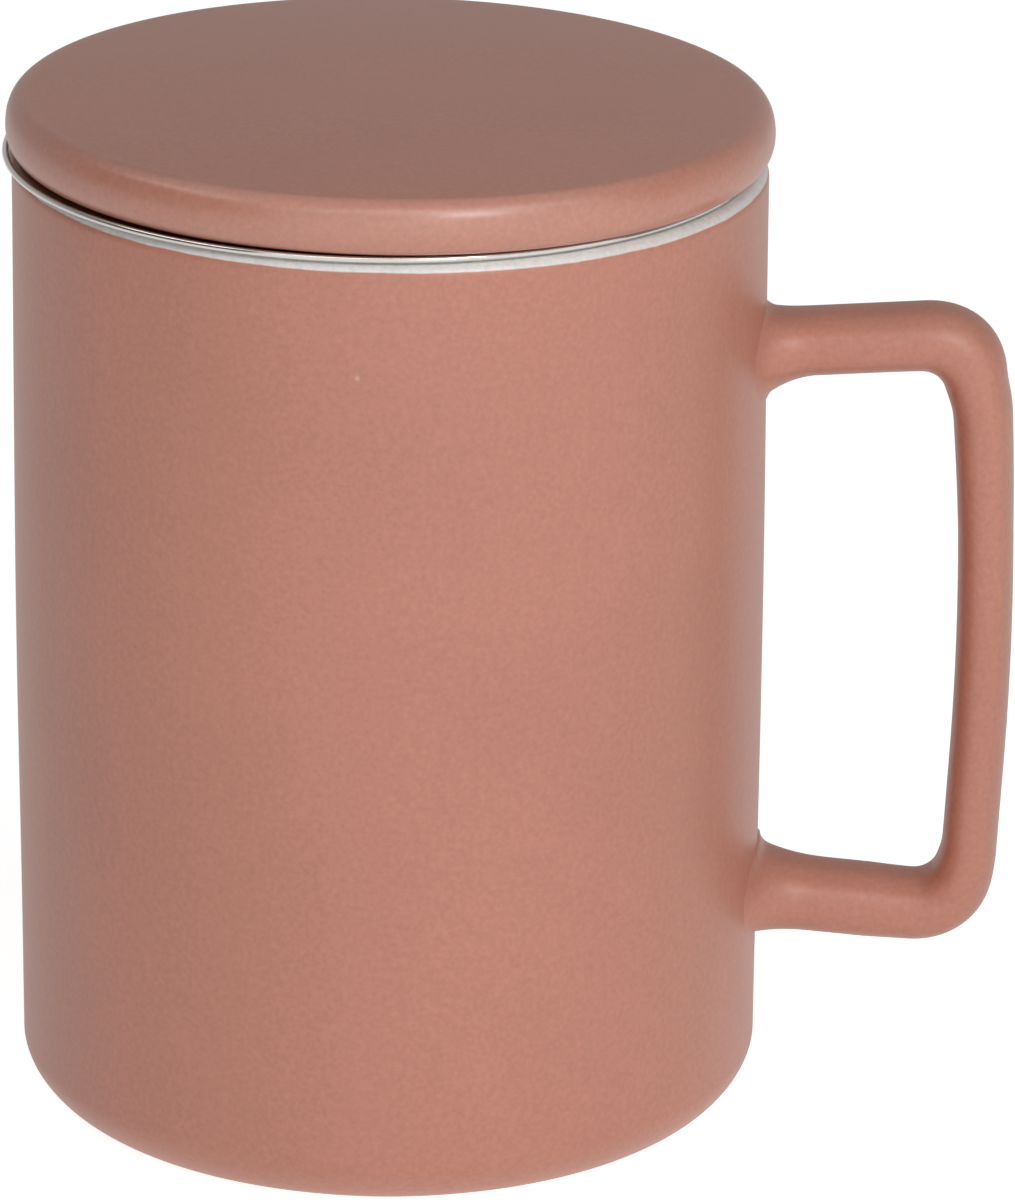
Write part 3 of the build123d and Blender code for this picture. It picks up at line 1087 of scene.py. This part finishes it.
# %% Lid's glaze
EDGE_POLISH = -0.06  # added to the glaze's roughness on the rounded edge


def lid_material(name):
    """Terracotta glaze with more gloss, a little smoother on the rounded edge."""
    material, tree, shader, position = new_material(name)
    skin = terracotta_skin(tree, position)
    radius = axis_distance(tree, position)
    edge, flat = lid_radius - 1.6 * MM, lid_radius - 4 * MM
    polish = remap(tree, radius, edge, flat, EDGE_POLISH, 0.0)
    rough = maths(tree, "ADD", polish, skin["Roughness"])
    finish_surface(tree, shader, skin["Colour"], rough, skin["Height"], bump_depth / 4)
    satin(shader, gloss=1.0)
    return material


lid.data.materials.append(lid_material("lid_glaze"))

# %% [markdown]
# The cup is dipped twice: terracotta outside, then white inside and over the lip. Where the
# white ends, its line wanders a little and isn't quite level. Under the foot the glaze is
# wiped off, or it would stick to the kiln's shelf, and the bare clay shows. A material for each
# group of faces would part along a stepped line, so one material serves the whole cup, and
# masks of height and radius place all three.

# %% Where the glazes end
WHITE_GLAZE = (0.74, 0.72, 0.70, 1)
BARE_CLAY, PALE_CLAY = (0.62, 0.46, 0.37), (0.74, 0.58, 0.49)
glaze_line = 112.75 * MM
line_tilt = 0.012
line_wander = 0.22 * MM
line_blur = 0.08 * MM
foot_line = 0.6 * MM
WHITE_POLISH, CLAY_DULLNESS = -0.16, 0.35  # added to the glaze's roughness
WANDER_SCALE, CLAY_SCALE = 260, 900


def white_mask(tree, position, axes):
    """1 above the wandering line on the lip and inside the cup, 0 elsewhere."""
    radius = axis_distance(tree, position)
    wander = noise(tree, position, WANDER_SCALE, 2)
    ragged = maths(tree, "MULTIPLY_ADD", wander, line_wander, -line_wander / 2)
    level = maths(tree, "MULTIPLY_ADD", axes[0], line_tilt, axes[2])
    level = maths(tree, "ADD", level, ragged)
    over_lip = remap(tree, level, glaze_line - line_blur, glaze_line + line_blur)
    lip_start = inner_radius + lip_inside
    within = remap(tree, radius, lip_start, lip_start - 0.4 * MM)
    # The underside is near the axis too, so the white starts a few millimetres above it.
    above_foot = remap(tree, axes[2], 3 * MM, 4 * MM)
    within = maths(tree, "MULTIPLY", within, above_foot)
    return maths(tree, "MAXIMUM", over_lip, within)


print("the white glaze ends %.2f mm below the lip" % ((lip_height - glaze_line) / MM))

# %% Cup's glazes
def cup_material(name):
    """Terracotta outside, white inside and over the lip, bare clay under the foot."""
    material, tree, shader, position = new_material(name)
    outside = terracotta_skin(tree, position)
    inside = use_group(tree, glaze, Position=position, Tone=WHITE_GLAZE, Drift=0.02, Dust=0.04)
    axes = separate(tree, position)
    white = white_mask(tree, position, axes)
    colour = blend_colour(tree, white, outside["Colour"], inside["Colour"])
    foot = remap(tree, axes[2], foot_line, foot_line - 0.1 * MM)
    clay = blend_colour(tree, noise(tree, position, CLAY_SCALE, 3), BARE_CLAY, PALE_CLAY)
    colour = blend_colour(tree, foot, colour, clay)
    roughness = maths(tree, "MULTIPLY_ADD", white, WHITE_POLISH, outside["Roughness"])
    roughness = maths(tree, "MULTIPLY_ADD", foot, CLAY_DULLNESS, roughness)
    finish_surface(tree, shader, colour, roughness, outside["Height"], bump_depth)
    satin(shader)
    return material


cup.data.materials.append(cup_material("cup_glazes"))

# %% [markdown]
# ## The steel
# Pressed stainless is polished round and round on a lathe, so its fine lines follow circles.
# The group reads the distance from the infuser's own axis and the height, but hardly the
# angle, so the noise is drawn out along the circles. An anisotropic shader could do that as
# well, but noise in the roughness and the bump is what an exported model keeps. The collar is
# handled and seen, so it is polished further than the sleeve and the base.

# %% Brushed steel group
BRUSH_SCALE, SMEAR_SCALE = 7000, 60  # cycles per metre
line_drift = 0.6 * MM  # how far the pattern moves on in a radian of turn
brush_depth = 0.004 * MM

brushed, given, made = new_group(
    "lathe_brushed",
    [("Position", "Vector"), ("Tone", "Color"), ("Dullness", "Float", 1.0)],
    [("Colour", "Color"), ("Roughness", "Float"), ("Height", "Float")],
)
centred = vector_maths(brushed, "ADD", i0=given["Position"], i1=(infuser_shift, 0, 0))[0]
axes = separate(brushed, centred)
square = maths(brushed, "MULTIPLY", axes[1], axes[1])
radius = maths(brushed, "SQRT", maths(brushed, "MULTIPLY_ADD", axes[0], axes[0], square))
angle = maths(brushed, "ARCTAN2", axes[1], axes[0])
bearing = maths(brushed, "MULTIPLY", angle, line_drift)
lathe = add_node(brushed, "ShaderNodeCombineXYZ", X=bearing, Y=radius, Z=axes[2]).outputs[0]
lines = noise(brushed, lathe, BRUSH_SCALE, 3, 0.7)
smears = noise(brushed, centred, SMEAR_SCALE, 3)
shade = maths(brushed, "MULTIPLY_ADD", lines, 0.22, 0.89)
tone = vector_maths(brushed, "SCALE", i0=given["Tone"], Scale=shade)[0]
smeared = maths(brushed, "MULTIPLY_ADD", smears, 0.14, 0.13)
rough = maths(brushed, "MULTIPLY_ADD", lines, 0.18, smeared)
rough = maths(brushed, "MULTIPLY", rough, given["Dullness"])
for result, word in ((tone, "Colour"), (rough, "Roughness"), (lines, "Height")):
    brushed.links.new(result, made[word])
print("steel group:", len(brushed.nodes), "nodes")

# %% Stainless steel
STEEL = (0.62, 0.60, 0.57, 1)


def steel_material(name, dullness):
    """Lathe-brushed stainless steel."""
    material, tree, shader, position = new_material(name)
    skin = use_group(tree, brushed, Position=position, Tone=STEEL, Dullness=dullness)
    shader.inputs["Metallic"].default_value = 1.0
    finish_surface(tree, shader, skin["Colour"], skin["Roughness"], skin["Height"], brush_depth)
    return material


for steel_piece, dullness in ((collar, 0.5), (sleeve, 1.0), (base, 1.0)):
    steel_piece.data.materials.append(steel_material(steel_piece.name + "_steel", dullness))

# %% [markdown]
# ## The studio
# The camera sees a white world, because Light Path tells its rays apart from others. The glaze
# and the steel mirror the same world toned down: a grey backdrop low behind the mug, a bright
# ceiling, and a dim room elsewhere. So the lid's level top mirrors the backdrop, and its
# rounded shoulder the ceiling. The world lights the mug hardly at all, because light from all
# sides would flatten it, and the lamps are there to shape it.

# %% World
AMBIENT = 0.02
BACKDROP = 0.42
ROOM, CEILING = 0.12, 0.95


def mirrored_rays(tree):
    """Light Path's outputs, and a value that is 1 for rays that a surface mirrors or bends."""
    ray = tree.nodes.new("ShaderNodeLightPath").outputs
    return ray, maths(tree, "MAXIMUM", ray["Is Glossy Ray"], ray["Is Transmission Ray"])


world = bpy.data.worlds.new("studio")
bpy.context.scene.world = world
world.use_nodes = True
tree = world.node_tree
ray, mirrored = mirrored_rays(tree)
way = separate(tree, tree.nodes.new("ShaderNodeTexCoord").outputs["Object"])
# The way a ray goes is a unit vector. Its y grows towards the back and its z upwards.
behind = remap(tree, way[1], -0.2, 0.5)
backdrop = maths(tree, "MULTIPLY", behind, remap(tree, way[2], 0.65, 0.25, 0.3, 1.0))
overhead = remap(tree, way[2], 0.6, 0.88, ROOM, CEILING)
room = maths(tree, "MULTIPLY_ADD", backdrop, BACKDROP, overhead, clamp=True)
seen = maths(tree, "MAXIMUM", ray["Is Camera Ray"], maths(tree, "MULTIPLY", mirrored, room))
background = tree.nodes["Background"]
background.inputs["Color"].default_value = (1, 1, 1, 1)
strength = maths(tree, "MULTIPLY_ADD", seen, 1 - AMBIENT, AMBIENT)
tree.links.new(strength, background.inputs["Strength"])
print("world: %d nodes" % len(tree.nodes))

# %% [markdown]
# The floor is a pale, matt sheet that keeps the mug's shadow. It glows a little, as a white
# table under soft light would, and that lightens the heel. The glow is stronger towards the
# camera and in reflections, so that the floor runs into the white behind it.

# %% Floor
FLOOR_GLOW, CAMERA_GLOW, MIRRORED_GLOW = 0.28, 0.57, 0.35
floor_half = 3.0

floor_mesh = bpy.data.meshes.new("floor")
floor_mesh.from_pydata(
    [(x, y, 0) for x, y in ((-1, -1), (1, -1), (1, 1), (-1, 1))], [], [(0, 1, 2, 3)]
)
floor_mesh.transform(Matrix.Scale(floor_half, 4))
floor = bpy.data.objects.new("floor", floor_mesh)
bpy.context.scene.collection.objects.link(floor)

material, tree, shader, _ = new_material("pale_floor")
shader.inputs["Base Color"].default_value = (0.8, 0.8, 0.8, 1)
shader.inputs["Roughness"].default_value = 0.9
shader.inputs["Specular IOR Level"].default_value = 0.0
shader.inputs["Emission Color"].default_value = (1, 1, 1, 1)
ray, mirrored = mirrored_rays(tree)
glow = maths(tree, "MULTIPLY_ADD", ray["Is Camera Ray"], CAMERA_GLOW, FLOOR_GLOW)
glow = maths(tree, "MULTIPLY_ADD", mirrored, MIRRORED_GLOW, glow)
tree.links.new(glow, shader.inputs["Emission Strength"])
floor.data.materials.append(material)
print("floor: %.0f m wide" % (2 * floor_half))

# %% [markdown]
# Soft boxes light the mug from the front, as in a small product studio. Two low boxes cover
# the wall. A long strip overhead and a small box draw the sheen along the lid's shoulder, and
# a thin strip on the left carries that sheen on round the edge.

# %% Lamps
LAMPS = (
    # name, bearing and lift in degrees, width and height in metres, power in watts
    ("key_strip", 22, 50, 2.1, 0.26, 4.4),
    ("key_box", 30, 34, 0.15, 0.15, 2.4),
    ("left_strip", -74, 50, 0.8, 0.12, 1.0),
    ("left_box", -2, 15, 1.3, 0.7, 3.0),
    ("right_box", 48, 15, 1.5, 0.7, 3.2),
)
lamp_distance = 1.2
middle = Vector((0, 0, 0.065))


def outwards(bearing, lift):
    """The unit vector away from the mug. A bearing of 0 is the front, and 90 degrees the
    handle's side."""
    level = math.cos(lift)
    return Vector((math.sin(bearing) * level, -math.cos(bearing) * level, math.sin(lift)))


for name, bearing, lift, width, height, power in LAMPS:
    lamp = bpy.data.lights.new(name, "AREA")
    lamp.shape = "RECTANGLE"
    lamp.size, lamp.size_y, lamp.energy = width, height, power
    way = outwards(math.radians(bearing), math.radians(lift))
    thing = bpy.data.objects.new(name, lamp)
    thing.location = middle + way * lamp_distance
    thing.rotation_euler = way.to_track_quat("Z", "Y").to_euler()
    bpy.context.scene.collection.objects.link(thing)
    print("%s: %.1f W" % (name, power))

# %% [markdown]
# ## The camera
# A long lens from 0.9 m keeps the mug's sides nearly upright, as a maker's catalogue would. The
# camera stands a little round towards the handle and looks down by about 20 degrees. Its
# axes are worked out from its heading, pitch and roll, and placed in one matrix.

# %% Camera
handle_bearing = math.radians(4.5)
camera_lift = 0.34458
camera_distance = 0.900
aim_height = 0.060
pitch, yaw, roll = 0.3450, 0.01616, 0.0075  # radians, as the lift
lens = 232.23

eye = Vector((0, 0, aim_height)) + camera_distance * outwards(handle_bearing, camera_lift)
heading = yaw - handle_bearing
forward = -outwards(-heading, pitch)
level_right = Vector((math.cos(heading), -math.sin(heading), 0))
level_up = level_right.cross(forward)
right = level_right * math.cos(roll) + level_up * math.sin(roll)
up = level_up * math.cos(roll) - level_right * math.sin(roll)

camera = bpy.data.objects.new("camera", bpy.data.cameras.new("camera"))
camera.data.lens = lens
camera.data.clip_start = 0.05
turned_axes = Matrix((right, up, -forward)).transposed()
camera.matrix_world = Matrix.Translation(eye) @ turned_axes.to_4x4()
bpy.context.scene.collection.objects.link(camera)
bpy.context.scene.camera = camera
bpy.context.scene.view_settings.view_transform = "Standard"
print("camera at", [round(v, 3) for v in eye])
